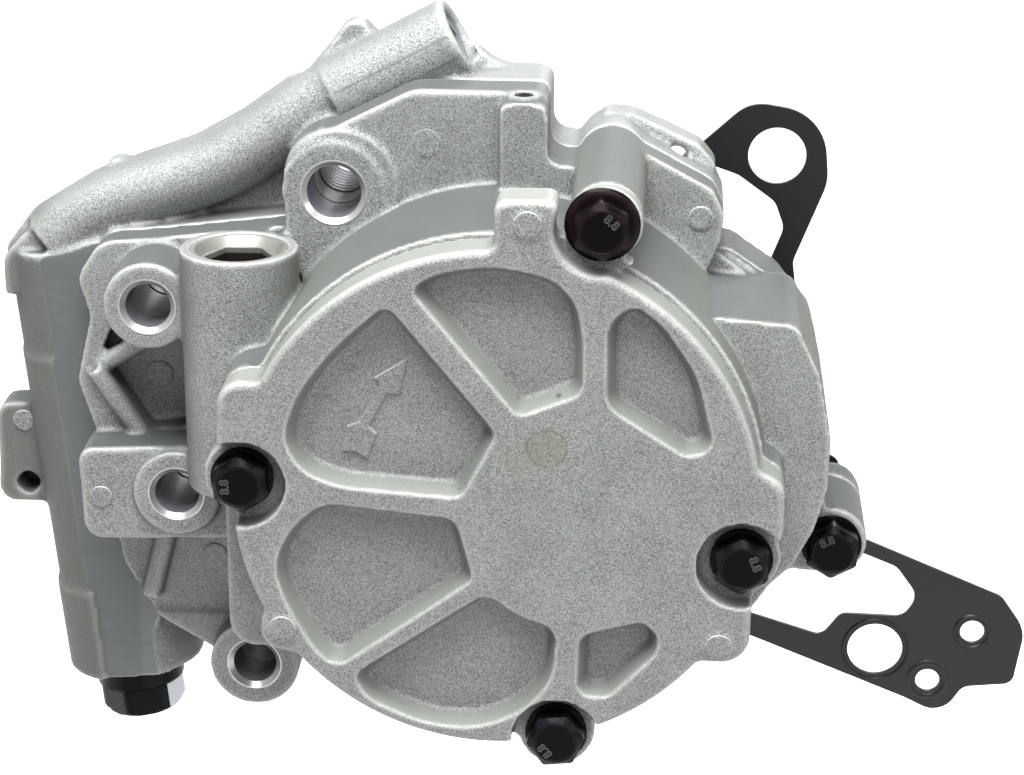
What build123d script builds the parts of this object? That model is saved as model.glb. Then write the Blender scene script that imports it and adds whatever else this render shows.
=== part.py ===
"""Tandem pump for an engine: a gear-ring oil pump behind a single-vane vacuum pump, on one shaft.

Frame: X to the right, Z up, Y away from the viewer. The origin is on the drive axis,
in the rear mounting face. A depth is a distance in front of that face, towards -Y.
"""
from build123d import *
from math import atan2, cos, hypot, pi, sin
import os

os.makedirs("parts", exist_ok=True)

# Depths of the main planes, in front of the mounting face
cover_front = 66
cover_back = 57
shoulder_front = 48
shelf_front = 25
web_front = 23
casting_joint = 15
fit = 0.05
low_end = (Align.CENTER, Align.CENTER, Align.MIN)

# Cover and the wall behind it
cover_centre = (-17.5, 0.5)
cover_radius = 50
wall_radius = 51
pocket_depth = 4.6
pocket_draft = 20
recess_floor = 4
recess_radius = 8.6

# Vacuum pump: the chamber is a limacon about the drive axis
vane_length = 79
vane_offset = 18
vane_thickness = 6
tip_radius = vane_thickness / 2
chamber_depth = 24
chamber_back = cover_back - chamber_depth
vacuum_rotor_radius = vane_length / 2 - vane_offset
journal_radius = 13

# Oil pump: round teeth in the outer rotor, their envelope on the inner rotor
outer_teeth = 9
inner_teeth = outer_teeth - 1
gear_offset = 2
gear_gap = 0.06
tooth_circle = 26.5
tooth_radius = 5
outer_rotor_radius = 30
gear_depth = 12
gear_floor = casting_joint - gear_depth

# Shaft and its chain sprocket
shaft_radius = 7
shaft_flat = 5.2
shaft_front = 29
hub_radius = 17
hub_back = -12
sprocket_teeth = 21
chain_pitch = 8
chain_roller = 5
sprocket_front = -14
sprocket_width = 5
shaft_back = sprocket_front - sprocket_width - 1

# Fasteners
bolt_radius = 3
bolt_hex = 10
bolt_head = 5
bolt_flange = 5.9
cover_bolts_at = [(-65.9, 3.4), (29.1, -11), (-5.9, -48.6)]
cover_bolt_turns = [32, 30, 6]
long_bolt_at = (2, 54.5)
long_boss_at = (2.6, 54.4)
long_boss_radius = 6.9
side_bolt_at = (47.7, -19)
side_bolt_seat = 34
side_boss_radius = 7.1
side_boss_back = 7
bolt_boss_radius = 7.5
body_screws_at = [(-46, -30), (-46, 30), (10, 38), (38, 12)]

# Mounting bosses: centre, outer radius, bore radius, front depth
boss_a = ((-51.7, 49.6), 10.2, 5.5, 26.5)
boss_b = ((-87.6, 28.8), 8.8, 4.6, 37)
boss_c = ((-83.9, -11.6), 8.9, 4.6, 34.5)
boss_d = ((-70.6, -53), 9.3, 4.6, 26)
bosses = [boss_a, boss_b, boss_c, boss_d]
bore_chamfer = 0.9
sleeve_wall = 1.6
sleeve_seat = 8
sleeve_reach = 9

# Relief valve barrel, leaning in the rear casting
barrel_radius = 14
barrel_depth = 2
barrel_foot = (-100, -62.5)
barrel_head = (-109.1, 31)
relief_bore = 7.5
plug_collar = 9.5
plug_collar_height = 4.8
plug_hex = 15.8
plug_hex_height = 6.6

# Delivery duct, rising to the right in the rear casting
duct_radius = 6.8
duct_depth = 7.5
duct_line = [(-112, 33), (-101.2, 40.4), (-90.7, 44.4), (-80.3, 48), (-69.9, 53.6), (-61, 60), (-50, 67)]
duct_end_radius = 8.3
duct_end_foot = (-52.5, 64.1)
duct_mouth = (-28, 77)
duct_plug_radius = 5.8
duct_plug_length = 8
duct_plug_inset = 1.2

# Valve tower
tower_at = (-69.4, 35)
tower_radius = 11.6
tower_top = 41
tower_foot = -8
ball_radius = 4
ball_seat = 12


def front(depth):
    """Drawing plane parallel to the mounting face, with X and Z as its own axes."""
    return Plane.XZ.offset(depth)


def outline(corners, radius):
    """Closed outline through the corners, rounded by one radius or a radius for each."""
    with BuildSketch() as shape:
        with BuildLine():
            FilletPolyline(*corners, radius=radius, close=True)
        make_face()
    return shape.sketch


def disc(centre, radius):
    """Round outline about a centre."""
    with BuildSketch() as shape:
        with Locations(centre):
            Circle(radius)
    return shape.sketch


def smooth(shape, radius):
    """The same outline with its inner corners and then its outer corners rounded."""
    with BuildSketch() as soft:
        add(shape)
        for amount in (radius, -2 * radius, radius):
            offset(amount=amount)
    return soft.sketch


def along(start, end, depth, radius, skip=0, length=None):
    """Round bar from start towards end, both in the plane at one depth."""
    run = Vector(end[0] - start[0], 0, end[1] - start[1])
    way = run.normalized()
    foot = Vector(start[0], -depth, start[1]) + way * skip
    with BuildPart(Plane(origin=foot, x_dir=(0, 1, 0), z_dir=way)) as bar:
        Cylinder(radius, length or run.length - skip, align=low_end)
    return bar.part


def barrel_plane(skip):
    """Plane across the barrel at a distance above its foot, its normal up the barrel."""
    way = Vector(barrel_head[0] - barrel_foot[0], 0, barrel_head[1] - barrel_foot[1]).normalized()
    foot = Vector(barrel_foot[0], -barrel_depth, barrel_foot[1])
    return Plane(origin=foot + way * skip, x_dir=(0, 1, 0), z_dir=way)


def upright(at, foot, top, radius):
    """Round bar standing along Z at (x, depth)."""
    with BuildPart(Plane(origin=(at[0], -at[1], foot))) as bar:
        Cylinder(radius, top - foot, align=low_end)
    return bar.part


def chamber_curve(gap, steps=40):
    """Loop at a gap outside the path of the vane's tips.

    The tip centres lie at a - e cos(t) from the drive axis. The loop is that path moved
    out along its own normal by the tip radius and the gap.
    """
    reach = vane_length / 2 - tip_radius
    points = []
    for step in range(steps):
        t = 2 * pi * step / steps
        r = reach - vane_offset * cos(t)
        slope = vane_offset * sin(t)
        out = (tip_radius + gap) / hypot(r, slope)
        x = r * cos(t) + out * (r * cos(t) + slope * sin(t))
        z = r * sin(t) + out * (r * sin(t) - slope * cos(t))
        points.append((x, z))
    with BuildSketch() as loop:
        with BuildLine():
            Spline(*points, periodic=True)
        make_face()
    return loop.sketch


def inner_rotor_curve(steps_per_tooth=12):
    """Envelope of the outer rotor's round teeth as they roll over the inner rotor, less a gap."""
    reach = tooth_radius + gear_gap
    points = []
    for step in range(inner_teeth * steps_per_tooth):
        t = 2 * pi * step / (inner_teeth * steps_per_tooth)
        turn = (1 - outer_teeth) * t
        tilt = atan2(sin(turn), tooth_circle / (gear_offset * outer_teeth) - cos(turn))
        x = tooth_circle * cos(t) - reach * cos(t + tilt) - gear_offset * cos(outer_teeth * t)
        z = -tooth_circle * sin(t) + reach * sin(t + tilt) + gear_offset * sin(outer_teeth * t)
        points.append((x, z))
    with BuildSketch() as loop:
        with BuildLine():
            Spline(*points, periodic=True)
        make_face()
    return loop.sketch


def hex_bolt(seat, flange_radius, length, turn=30, hexagon=bolt_hex, head=bolt_head):
    """Hexagon bolt: its head stands on the seat plane along the plane's normal."""
    top = Axis(seat.origin, seat.z_dir)
    with BuildPart(seat) as bolt:
        Cylinder(hexagon / 2 / cos(pi / 6), 1 + head, align=low_end)
        chamfer(bolt.edges().sort_by(top)[-1], 0.8)
        with BuildSketch(seat):
            RegularPolygon(hexagon / 2, 6, major_radius=False, rotation=turn)
        extrude(amount=1 + head, mode=Mode.INTERSECT)
        Cylinder(flange_radius, 1.2, align=low_end)
        Cylinder(bolt_radius - fit, length, align=(Align.CENTER, Align.CENTER, Align.MAX))
    return bolt.part


def facing(x, z, depth, forward=True):
    """Plane at a point, its normal towards the viewer or away from the viewer."""
    return Plane(origin=(x, -depth, z), x_dir=(1, 0, 0), z_dir=(0, -1 if forward else 1, 0))


def write(part, name):
    """Label a piece and write it as its own file."""
    part.label = name
    export_step(part, f"parts/{name}.step")


# Outline of the cover: the rim circle, the lobes for the bolts and the ejector pads
cover_lobes = [
    ([(-56, 28.7), (-60, 24), (-69.6, 24), (-70.4, 6), (-66, -6), (-58, -14), (-50, 10)],
     [1, 2, 5, 3, 3, 3, 1]),
    ([(-17.7, 46), (-17.7, 60), (-5.4, 60.2), (-5, 46)], [0.5, 2.6, 2.6, 0.5]),
    ([(22, 10), (30, 9.6), (36.8, 5.6), (36.8, -4), (31.2, -20), (31, -31.5), (20, -31), (10, -20)],
     [1, 4, 4, 4, 6, 5.5, 4, 1]),
    ([(-55, -20), (-62.5, -22), (-63, -30), (-54, -32)], [1, 4, 4, 1]),
]
pockets = [
    ([(-33.2, 42.8), (-28.6, 45.9), (-17.6, 47.8), (-6.6, 45.2), (-2.4, 40.6), (-1.2, 33.5), (-1.2, 23),
      (-13.2, 18.2)],
     [2, 14, 28, 9, 10, 30, 3.4, 2.6]),
    ([(-37.6, 40), (-47.6, 31), (-54.6, 21.8), (-57.6, 13), (-54.4, 6.6), (-47.4, 3.4), (-24, 1.6),
      (-17.2, 14.8)],
     [2.5, 50, 26, 8.5, 9, 20, 3.4, 3]),
    ([(-50.4, 0.1), (-25, -2.6), (-21.7, -15), (-48.4, -34.3), (-52.6, -30.2), (-58, -20.4), (-60, -12.6),
      (-56.2, -4.8)], [8, 3.4, 2.6, 3.6, 16, 30, 11, 18]),
    ([(-19.2, -17.6), (-45, -35.4), (-42.6, -40.6), (-31.6, -45.6), (-21.4, -46.6), (-12.6, -42.8),
      (-6.6, -36.2),
      (-5.6, -24.8), (-13.3, -22.4)], [3.6, 2.6, 8, 26, 18, 18, 13, 4, 14]),
    ([(8.3, 40.6), (3.2, 37.5), (3.3, 20.6), (18, 11), (23.6, 12), (20, 27), (13.4, 36.8)],
     [3, 6, 5, 3.4, 3.2, 20, 14]),
    ([(-1.5, -26.1), (10.6, -22.9), (13.6, -25.5), (13.5, -29.5), (3.8, -39.4), (-1.9, -38.6)],
     [3, 3, 3, 5, 4, 3]),
]
pads_at = [(-11.5, 55.6), (25.2, -27.6), (-58.6, -26)]

with BuildSketch() as cover_shape:
    add(disc(cover_centre, cover_radius))
    for corners, radii in cover_lobes:
        add(outline(corners, radii))
    for spot in cover_bolts_at:
        add(disc(spot, bolt_boss_radius))
    add(disc(long_bolt_at, recess_radius), mode=Mode.SUBTRACT)

with BuildPart() as vacuum_cover:
    with BuildSketch(front(cover_back)):
        add(smooth(cover_shape.sketch, 2))
    extrude(amount=cover_front - cover_back)
    fillet(vacuum_cover.faces().filter_by(Axis.Y).sort_by(Axis.Y)[0].edges(), 1.2)
    for corners, radii in pockets:
        with BuildSketch(front(cover_front)):
            add(outline(corners, radii))
        extrude(amount=-pocket_depth, taper=pocket_draft, mode=Mode.SUBTRACT)
    for spot in cover_bolts_at + [long_bolt_at]:
        with BuildSketch(front(cover_back + recess_floor)):
            add(disc(spot, recess_radius))
        extrude(amount=cover_front, mode=Mode.SUBTRACT)
    with BuildSketch(front(cover_back)):
        add(disc(long_bolt_at, recess_radius + 1))
        add(disc(cover_centre, wall_radius + 2), mode=Mode.INTERSECT)
        add(disc(long_boss_at, long_boss_radius))
    extrude(amount=recess_floor)
    for spot in cover_bolts_at + [long_bolt_at]:
        with BuildSketch(front(cover_back)):
            add(disc(spot, bolt_radius + 0.3))
        extrude(amount=cover_front, mode=Mode.SUBTRACT)
    for spot in pads_at:
        with BuildSketch(front(cover_front - 0.1)):
            add(disc(spot, 2.6))
        extrude(amount=0.5)
write(vacuum_cover.part, "vacuum_cover")


# Outlines shared by the two castings, at and behind their joint
wall_lobes = [disc(cover_centre, wall_radius)] + [outline(*cover_lobes[side]) for side in (0, 2)]
wall_bosses = [disc(spot, bolt_boss_radius) for spot in cover_bolts_at] + [disc(long_boss_at,
                                                                                long_boss_radius)]
bracket = outline(
    [(-61.6, 24), (-61.6, 62.2), (-52, 62.2), (-36, 70.2), (-9.6, 70), (-9.6, 57.5), (-2, 56), (-20, 30)],
    [2, 9.5, 10, 9, 2.5, 3.5, 1, 2])
bracket_block = outline([(-19, 51.8), (-19, 69), (-9.6, 69), (-9.6, 57), (0, 56.6), (0, 46)],
                        [1, 2.5, 2.5, 3, 1, 2])
shoulder = outline(
    [(12, 33.5), (38.8, 31.2), (43.5, 21), (46, 8), (45.8, -2), (43.4, -11), (39.4, -18.6), (35.6, -22),
     (31.6, -28),
     (26, -36), (8, -36)],
    [1, 3.5, 9, 14, 6, 5, 4, 4, 4, 3, 2])
gear_case = outline(
    [(12, 36), (26, 36.4), (36, 29.4), (43, 21), (46, 8), (45.6, -4), (43, -12), (40, -20), (31, -32),
     (8, -36)],
    [1, 5, 6, 9, 8, 6, 4, 4, 4, 2])
side_web = outline([(5, 60), (22.6, 50.4), (24.9, 45.5), (24.3, 40), (20.2, 30), (2, 40)], [2, 4, 3, 3, 1, 2])
side_wedge = outline([(16, 40), (23.4, 37), (32.4, 30.6), (14, 28)], [1, 1, 1, 1])
left_web = outline(
    [(-55, 42.5), (-88, 38.6), (-99.5, 37.6), (-104.4, 30), (-102, 22), (-105.4, 8), (-101.6, -4),
     (-101, -20),
     (-98.8, -34), (-92, -46), (-79.5, -53.5), (-70, -62), (-60, -52), (-50, -20)],
    [2, 6, 6, 5, 6, 8, 8, 6, 8, 10, 6, 6, 4, 4])
web_recesses = [
    outline([(-99.4, 11.2), (-91, 16.6), (-76, 24), (-74, 0), (-91, -2)], [0.6, 1, 1, 1, 0.6]),
    outline([(-97.6, 20.4), (-101.2, 11.8), (-94.6, 15.6)], 0.6),
    outline([(-106, -18), (-106, -70), (-56, -70), (-56, -18)], 1)]
side_boss = [disc(side_bolt_at, side_boss_radius),
             outline([(34, -2), (45.6, -4), (46.4, -12.4), (45.4, -25.8), (39.4, -25), (36.2, -28), (31, -34),
                      (24, -28)],
                     [1, 3, 2, 2, 3, 3, 1, 1])]
block_c = outline([(-104, -3), (-72, -1.4), (-72, -21.8), (-103.4, -22.6)], [3, 1, 1, 4])
pad_a = outline([(-61.6, 56), (-61.4, 38), (-58.2, 31.5), (-50, 37.6), (-40.4, 46), (-44, 56)],
                [3, 2, 0.6, 3, 2, 3])
boss_a_foot = disc((-50.4, 50.6), 11.3)
low_wall = outline([(-71.4, 6), (-71.4, -37.4), (-55, -37.4), (-45, 0)], [5, 5, 1, 1])

with BuildSketch() as joint_shape:
    for shape in wall_lobes + wall_bosses + [bracket, gear_case, side_web, left_web]:
        add(shape)
    for centre, radius, bore, top in bosses:
        add(disc(centre, radius))
with BuildSketch() as open_web:
    add(left_web)
    for shape in web_recesses:
        add(shape, mode=Mode.SUBTRACT)
with BuildSketch() as low_web:
    add(left_web)
    add(outline([(-110, -45), (-110, -80), (-50, -80), (-50, -45)], 1), mode=Mode.INTERSECT)

floor_depth = casting_joint + 3
ribs = [((-101.4, 11), (-92.6, -3), web_front + 0.4, 2), ((-90.6, 17), (-100.6, 11.4), web_front - 0.8, 2),
        ((-86.6, -17), (-93, -40.6), floor_depth + 1.4, 2.2)]
vent_at = (-14.4, 25)
vent_top = 69.8
vent_depth = 5.8
vent_radius = 2.1
vent_collar = 3.3

with BuildPart() as pump_housing:
    for shapes, top in [([joint_shape.sketch], floor_depth), ([bracket], shelf_front),
                        ([boss_a_foot], shelf_front + 0.8), ([pad_a], boss_a[3]),
                        ([bracket_block], shelf_front + 5), ([open_web.sketch, side_web], web_front),
                        ([low_web.sketch], floor_depth + 0.8), ([side_wedge], floor_depth + 1.5),
                        (side_boss, side_bolt_seat), ([block_c], boss_c[3] - 1.6),
                        ([low_wall], 50), ([shoulder], shoulder_front),
                        (wall_lobes + wall_bosses, cover_back)]:
        with BuildSketch(front(casting_joint)):
            for shape in shapes:
                add(shape)
        extrude(amount=top - casting_joint)
    for centre, radius, bore, top in bosses:
        with BuildSketch(front(casting_joint)):
            add(disc(centre, radius))
        extrude(amount=top - casting_joint)
    for start, end, depth, radius in ribs:
        add(along(start, end, depth, radius))
    add(upright(tower_at, tower_foot, tower_top, tower_radius))
    # Vent with a collar on top of the bracket's block
    add(upright(vent_at, 60, vent_top, vent_collar))
    add(upright(vent_at, vent_top - vent_depth, vent_top, vent_radius), mode=Mode.SUBTRACT)
    # Vacuum chamber, the rotor's bearing and the shaft's way through
    with BuildSketch(front(chamber_back)):
        add(chamber_curve(fit))
    extrude(amount=chamber_depth, mode=Mode.SUBTRACT)
    with BuildSketch(front(cover_back)):
        add(chamber_curve(3.2))
        add(chamber_curve(1.4), mode=Mode.SUBTRACT)
    extrude(amount=-1.6, mode=Mode.SUBTRACT)
    for depth, radius, top in [(casting_joint, shaft_radius + 0.3, 17),
                               (17, journal_radius + 2, chamber_back)]:
        with BuildSketch(front(depth)):
            Circle(radius)
        extrude(amount=top - depth, mode=Mode.SUBTRACT)
    # Holes for the bolts, the screws and the mounting bolts
    for spots, radius, low, top in [(cover_bolts_at, bolt_radius, 38, cover_back),
                                    ([long_bolt_at], bolt_radius + 0.3, casting_joint, cover_back),
                                    ([side_bolt_at], bolt_radius + 0.3, casting_joint, side_bolt_seat),
                                    (body_screws_at, bolt_radius, casting_joint, 29)]:
        for spot in spots:
            with BuildSketch(front(low)):
                add(disc(spot, radius))
            extrude(amount=top - low, mode=Mode.SUBTRACT)
    with BuildSketch(front(side_bolt_seat)):
        add(disc(side_bolt_at, 6.8))
    extrude(amount=cover_back, mode=Mode.SUBTRACT)
    for centre, radius, bore, top in bosses:
        with BuildSketch(front(casting_joint)):
            add(disc(centre, bore))
        extrude(amount=top - casting_joint, mode=Mode.SUBTRACT)
        with BuildSketch(front(top)):
            add(disc(centre, bore + bore_chamfer))
        extrude(amount=-bore_chamfer, taper=45, mode=Mode.SUBTRACT)
    # Stepped bore of the check valve in the tower
    for foot, top, radius in [(4, 34, 3), (ball_seat, 34, 5.5), (33, tower_top, 9.5)]:
        add(upright(tower_at, foot, top, radius), mode=Mode.SUBTRACT)
write(pump_housing.part, "pump_housing")

land = outline([(-113.4, 31), (-98, 37), (-92, -50), (-104.5, -58)], [2, 4, 4, 2])
tab = outline([(-126.8, -4), (-112, -3), (-112, -26), (-127.6, -26.2)], [3, 1, 1, 3.5])
tab_hole = (-121.2, -21.8)
ear = outline([(0, 62), (6.5, 61.6), (19.6, 55.6), (23.2, 51.6), (23, 44), (10, 38)], [1, 3, 3, 3, 3, 1])
ear_hole = (15.2, 53)
duct_tab = outline([(-62, 60), (-60.6, 67), (-54.3, 74.4), (-51, 79), (-48, 80), (-44.4, 76), (-44, 64)],
                   [1, 6, 6, 2.4, 2.4, 1.5, 1])
end_web = outline([(-36, 60), (-26, 75.2), (-21.8, 71.8), (-17, 69.8), (-17, 58)], [1, 1, 2.4, 1, 1])
duct_knob = (-98.4, 47)
duct_wall = outline(
    [(-122.3, 22), (-122.2, 31.4), (-117, 38.4), (-104.2, 46.4), (-93, 50.8), (-82.8, 54.4), (-72.8, 60),
     (-62, 67.8),
     (-50, 62), (-50, 44), (-60, 36), (-96, 24)], [1, 4, 6, 8, 8, 8, 8, 1, 1, 2, 2, 2])
duct_root = outline([(-122.2, 22), (-122.1, 30.4), (-117.4, 35.6), (-108, 40.4), (-100, 41.5), (-96, 34),
                     (-100, 24)],
                    [1, 5, 6, 6, 2, 2, 1])

with BuildPart() as duct:
    with BuildLine() as duct_way:
        Spline(*[(x, -duct_depth, z) for x, z in duct_line])
    with BuildSketch(Plane(origin=duct_way.wire() @ 0, z_dir=duct_way.wire() % 0)):
        Circle(duct_radius)
    sweep(path=duct_way.wire())

with BuildPart() as rear_body:
    for shapes, low, top in [([joint_shape.sketch, land], 0, casting_joint), ([ear], 0, 8), ([tab], -4, 5),
                             ([duct_tab], 1, 7), ([disc(duct_knob, 3)], 0, 6),
                             ([duct_wall], 0, 7), ([duct_root], 0, 11), ([end_web], 1, 6),
                             (side_boss, side_boss_back, casting_joint)]:
        with BuildSketch(front(low)):
            for shape in shapes:
                add(shape)
        extrude(amount=top - low)
    for radius, skip, length in [(14.6, 0, 20.4), (barrel_radius, 20, 53), (13.6, 72, 23.5)]:
        add(along(barrel_foot, barrel_head, barrel_depth, radius, skip, length))
    add(duct.part)
    add(along(duct_end_foot, duct_mouth, duct_depth, duct_end_radius))
    with BuildSketch(front(hub_back)):
        Circle(hub_radius)
    extrude(amount=-hub_back)
    # The joint face is milled level across the barrel's right side
    with BuildSketch(front(casting_joint)):
        add(outline([(-113.4, 31), (-113.4, 36), (-98, 40), (-60, 45), (-60, -70), (-104.5, -64)], 0.3))
        add(bracket)
    extrude(amount=12, mode=Mode.SUBTRACT)
    # Gear pocket, shaft bush, bolt and screw holes
    for centre, radius, low, top in [((-gear_offset, 0), outer_rotor_radius, gear_floor, casting_joint),
                                     ((0, 0), 9.5, hub_back, gear_floor),
                                     (long_bolt_at, bolt_radius, 2, casting_joint),
                                     (side_bolt_at, bolt_radius, side_boss_back + 2, casting_joint),
                                     (tab_hole, 2.4, -3, 6), (ear_hole, 2.3, 0, 9)]:
        with BuildSketch(front(low)):
            add(disc(centre, radius))
        extrude(amount=top - low, mode=Mode.SUBTRACT)
    for spot in body_screws_at:
        for radius, low, top in [(bolt_radius + 0.3, 0, casting_joint), (5.4, 0, 8)]:
            with BuildSketch(front(low)):
                add(disc(spot, radius))
            extrude(amount=top - low, mode=Mode.SUBTRACT)
    for centre, radius, bore, top in bosses:
        with BuildSketch(front(0)):
            add(disc(centre, bore))
        extrude(amount=casting_joint, mode=Mode.SUBTRACT)
    for centre, radius, bore, top in (boss_a, boss_d):
        with BuildSketch(front(0)):
            add(disc(centre, bore + sleeve_wall))
        extrude(amount=sleeve_seat, mode=Mode.SUBTRACT)
    plug_run = duct_plug_inset + duct_plug_length
    add(along(duct_mouth, duct_end_foot, duct_depth, duct_plug_radius, -1, 1 + plug_run), mode=Mode.SUBTRACT)
    for radius, length in [(9, 11), (relief_bore, 61), (4, 74)]:
        add(along(barrel_foot, barrel_head, barrel_depth, radius, -1, length), mode=Mode.SUBTRACT)
write(rear_body.part, "rear_body")

# Fasteners that can be seen from the front
with BuildPart() as cover_bolts:
    for (x, z), turn in zip(cover_bolts_at, cover_bolt_turns):
        add(hex_bolt(facing(x, z, cover_back + recess_floor), bolt_flange, 22, turn))
write(cover_bolts.part, "cover_bolts")
long_bolt = hex_bolt(facing(*long_bolt_at, cover_back + recess_floor), 7, 58, 33)
write(long_bolt, "long_flange_bolt")
side_bolt = hex_bolt(facing(*side_bolt_at, side_bolt_seat), bolt_flange, 24, 28)
write(side_bolt, "side_bolt")

# Socket screws from behind
with BuildPart() as body_screws:
    for x, z in body_screws_at:
        seat = facing(x, z, 8, forward=False)
        with BuildSketch(seat):
            Circle(5)
        extrude(amount=6)
        with BuildSketch(seat.offset(6)):
            RegularPolygon(2.5, 6, major_radius=False)
        extrude(amount=-3, mode=Mode.SUBTRACT)
        with BuildSketch(seat):
            Circle(bolt_radius - fit)
        extrude(amount=-20)
write(body_screws.part, "body_screws")

# Hollow dowels that line the pump up on the engine, round two of the mounting holes
with BuildPart() as dowel_sleeves:
    for centre, radius, bore, top in (boss_a, boss_d):
        with BuildSketch(front(-sleeve_reach)):
            add(disc(centre, bore + sleeve_wall - fit))
            add(disc(centre, bore), mode=Mode.SUBTRACT)
        extrude(amount=sleeve_reach + sleeve_seat - fit)
write(dowel_sleeves.part, "dowel_sleeves")

# Screwed plug in the duct's end
plug_run_way = (Vector(*duct_mouth) - Vector(*duct_end_foot)).normalized()
plug_face = Plane(origin=Vector(duct_mouth[0], -duct_depth, duct_mouth[1])
                  - Vector(plug_run_way.X, 0, plug_run_way.Y) * duct_plug_inset,
                  x_dir=(0, 1, 0), z_dir=(plug_run_way.X, 0, plug_run_way.Y))
with BuildPart() as duct_plug:
    with BuildSketch(plug_face):
        Circle(duct_plug_radius - fit)
    extrude(amount=-duct_plug_length + fit)
    with BuildSketch(plug_face):
        RegularPolygon(3, 6, major_radius=False)
    extrude(amount=-4, mode=Mode.SUBTRACT)
write(duct_plug.part, "duct_plug")

# Rubber ring that seals the vacuum chamber
with BuildPart() as cover_seal:
    with BuildSketch(front(cover_back - 1.6)):
        add(chamber_curve(3.1))
        add(chamber_curve(1.5), mode=Mode.SUBTRACT)
    extrude(amount=1.6)
write(cover_seal.part, "cover_seal")


def shaft_section(radius, flat):
    """Round section with two level flats, the drive between the shaft and what it turns."""
    with BuildSketch() as section:
        Circle(radius)
        Rectangle(2 * radius, 2 * flat, mode=Mode.INTERSECT)
    return section.sketch


def ring(outer, inner, back, top):
    """Bush about the drive axis between two depths."""
    with BuildPart() as bush:
        with BuildSketch(front(back)):
            Circle(outer)
            Circle(inner, mode=Mode.SUBTRACT)
        extrude(amount=top - back)
    return bush.part


write(ring(journal_radius + 2, journal_radius, 17, chamber_back - 1), "rotor_bush")
write(ring(9.5, shaft_radius + fit, hub_back + 0.5, gear_floor - 0.5), "shaft_bush")

with BuildPart() as drive_shaft:
    for back, top, section in [(gear_floor, shaft_front, shaft_section(shaft_radius, shaft_flat)),
                               (sprocket_front, gear_floor, disc((0, 0), shaft_radius)),
                               (shaft_back, sprocket_front, shaft_section(shaft_radius, shaft_flat))]:
        with BuildSketch(front(back)):
            add(section)
        extrude(amount=top - back)
    with BuildSketch(front(shaft_back)):
        Circle(3)
    extrude(amount=14, mode=Mode.SUBTRACT)
write(drive_shaft.part, "drive_shaft")

# Vacuum pump: rotor, vane and the pin through the vane's middle
with BuildPart() as vacuum_rotor:
    with BuildSketch(front(chamber_back + fit)):
        Circle(vacuum_rotor_radius)
        SlotOverall(vane_length, vane_thickness + 2 * fit, rotation=90, mode=Mode.SUBTRACT)
    extrude(amount=chamber_depth - 2 * fit)
    with BuildSketch(front(18)):
        Circle(journal_radius - fit)
    extrude(amount=chamber_back + fit - 18)
    with BuildSketch(front(18)):
        add(shaft_section(shaft_radius + fit, shaft_flat + fit))
    extrude(amount=shaft_front + 1 - 18, mode=Mode.SUBTRACT)
write(vacuum_rotor.part, "vacuum_rotor")

with BuildPart() as vane:
    with BuildSketch(front(chamber_back + 2 * fit)):
        SlotOverall(vane_length, vane_thickness, rotation=90)
        Circle(1.5 + fit, mode=Mode.SUBTRACT)
    extrude(amount=chamber_depth - 3 * fit)
write(vane.part, "vacuum_vane")
with BuildPart() as vane_pin:
    with BuildSketch(front(chamber_back + 4 * fit)):
        Circle(1.5)
    extrude(amount=chamber_depth - 7 * fit)
write(vane_pin.part, "vane_pin")

# Oil pump: the outer rotor turns about an axis beside the shaft's
with BuildPart() as inner_rotor:
    with BuildSketch(front(gear_floor + fit)):
        add(inner_rotor_curve())
        add(shaft_section(shaft_radius + fit, shaft_flat + fit), mode=Mode.SUBTRACT)
    extrude(amount=gear_depth - 2 * fit)
write(inner_rotor.part, "oil_inner_rotor")

with BuildSketch() as outer_section:
    Circle(tooth_circle - tooth_radius + 2 * gear_offset + 0.2)
    with PolarLocations(tooth_circle, outer_teeth):
        Circle(tooth_radius - gear_gap, mode=Mode.SUBTRACT)
with BuildPart() as outer_rotor:
    with BuildSketch(front(gear_floor + fit)):
        with Locations((-gear_offset, 0)):
            Circle(outer_rotor_radius - fit)
            add(outer_section.sketch, mode=Mode.SUBTRACT)
    extrude(amount=gear_depth - 2 * fit)
write(outer_rotor.part, "oil_outer_rotor")

# Chain sprocket and its bolt
pitch_radius = chain_pitch / 2 / sin(pi / sprocket_teeth)
with BuildPart() as sprocket:
    with BuildSketch(front(sprocket_front - sprocket_width)):
        Circle(pitch_radius + 1.9)
        with PolarLocations(pitch_radius, sprocket_teeth):
            Circle(chain_roller / 2 + 0.1, mode=Mode.SUBTRACT)
        with PolarLocations(pitch_radius + 1.6, sprocket_teeth):
            Rectangle(3.4, chain_roller + 0.6, mode=Mode.SUBTRACT)
        with PolarLocations(17.5, 6):
            Circle(3.6, mode=Mode.SUBTRACT)
        add(shaft_section(shaft_radius + fit, shaft_flat + fit), mode=Mode.SUBTRACT)
    extrude(amount=sprocket_width)
write(sprocket.part, "drive_sprocket")
write(hex_bolt(facing(0, 0, shaft_back - 1.5, forward=False), 9, 12, hexagon=13, head=6), "sprocket_bolt")
write(ring(10, 3.4, shaft_back - 1.5, shaft_back), "sprocket_washer")


# Relief valve in the leaning barrel
with BuildPart(barrel_plane(40)) as relief_piston:
    Cylinder(relief_bore - fit, 19.9, align=low_end)
with BuildPart(barrel_plane(40)) as piston_hollow:
    Cylinder(5.9, 12, align=low_end)
relief_piston = relief_piston.part - piston_hollow.part
write(relief_piston, "relief_piston")

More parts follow.
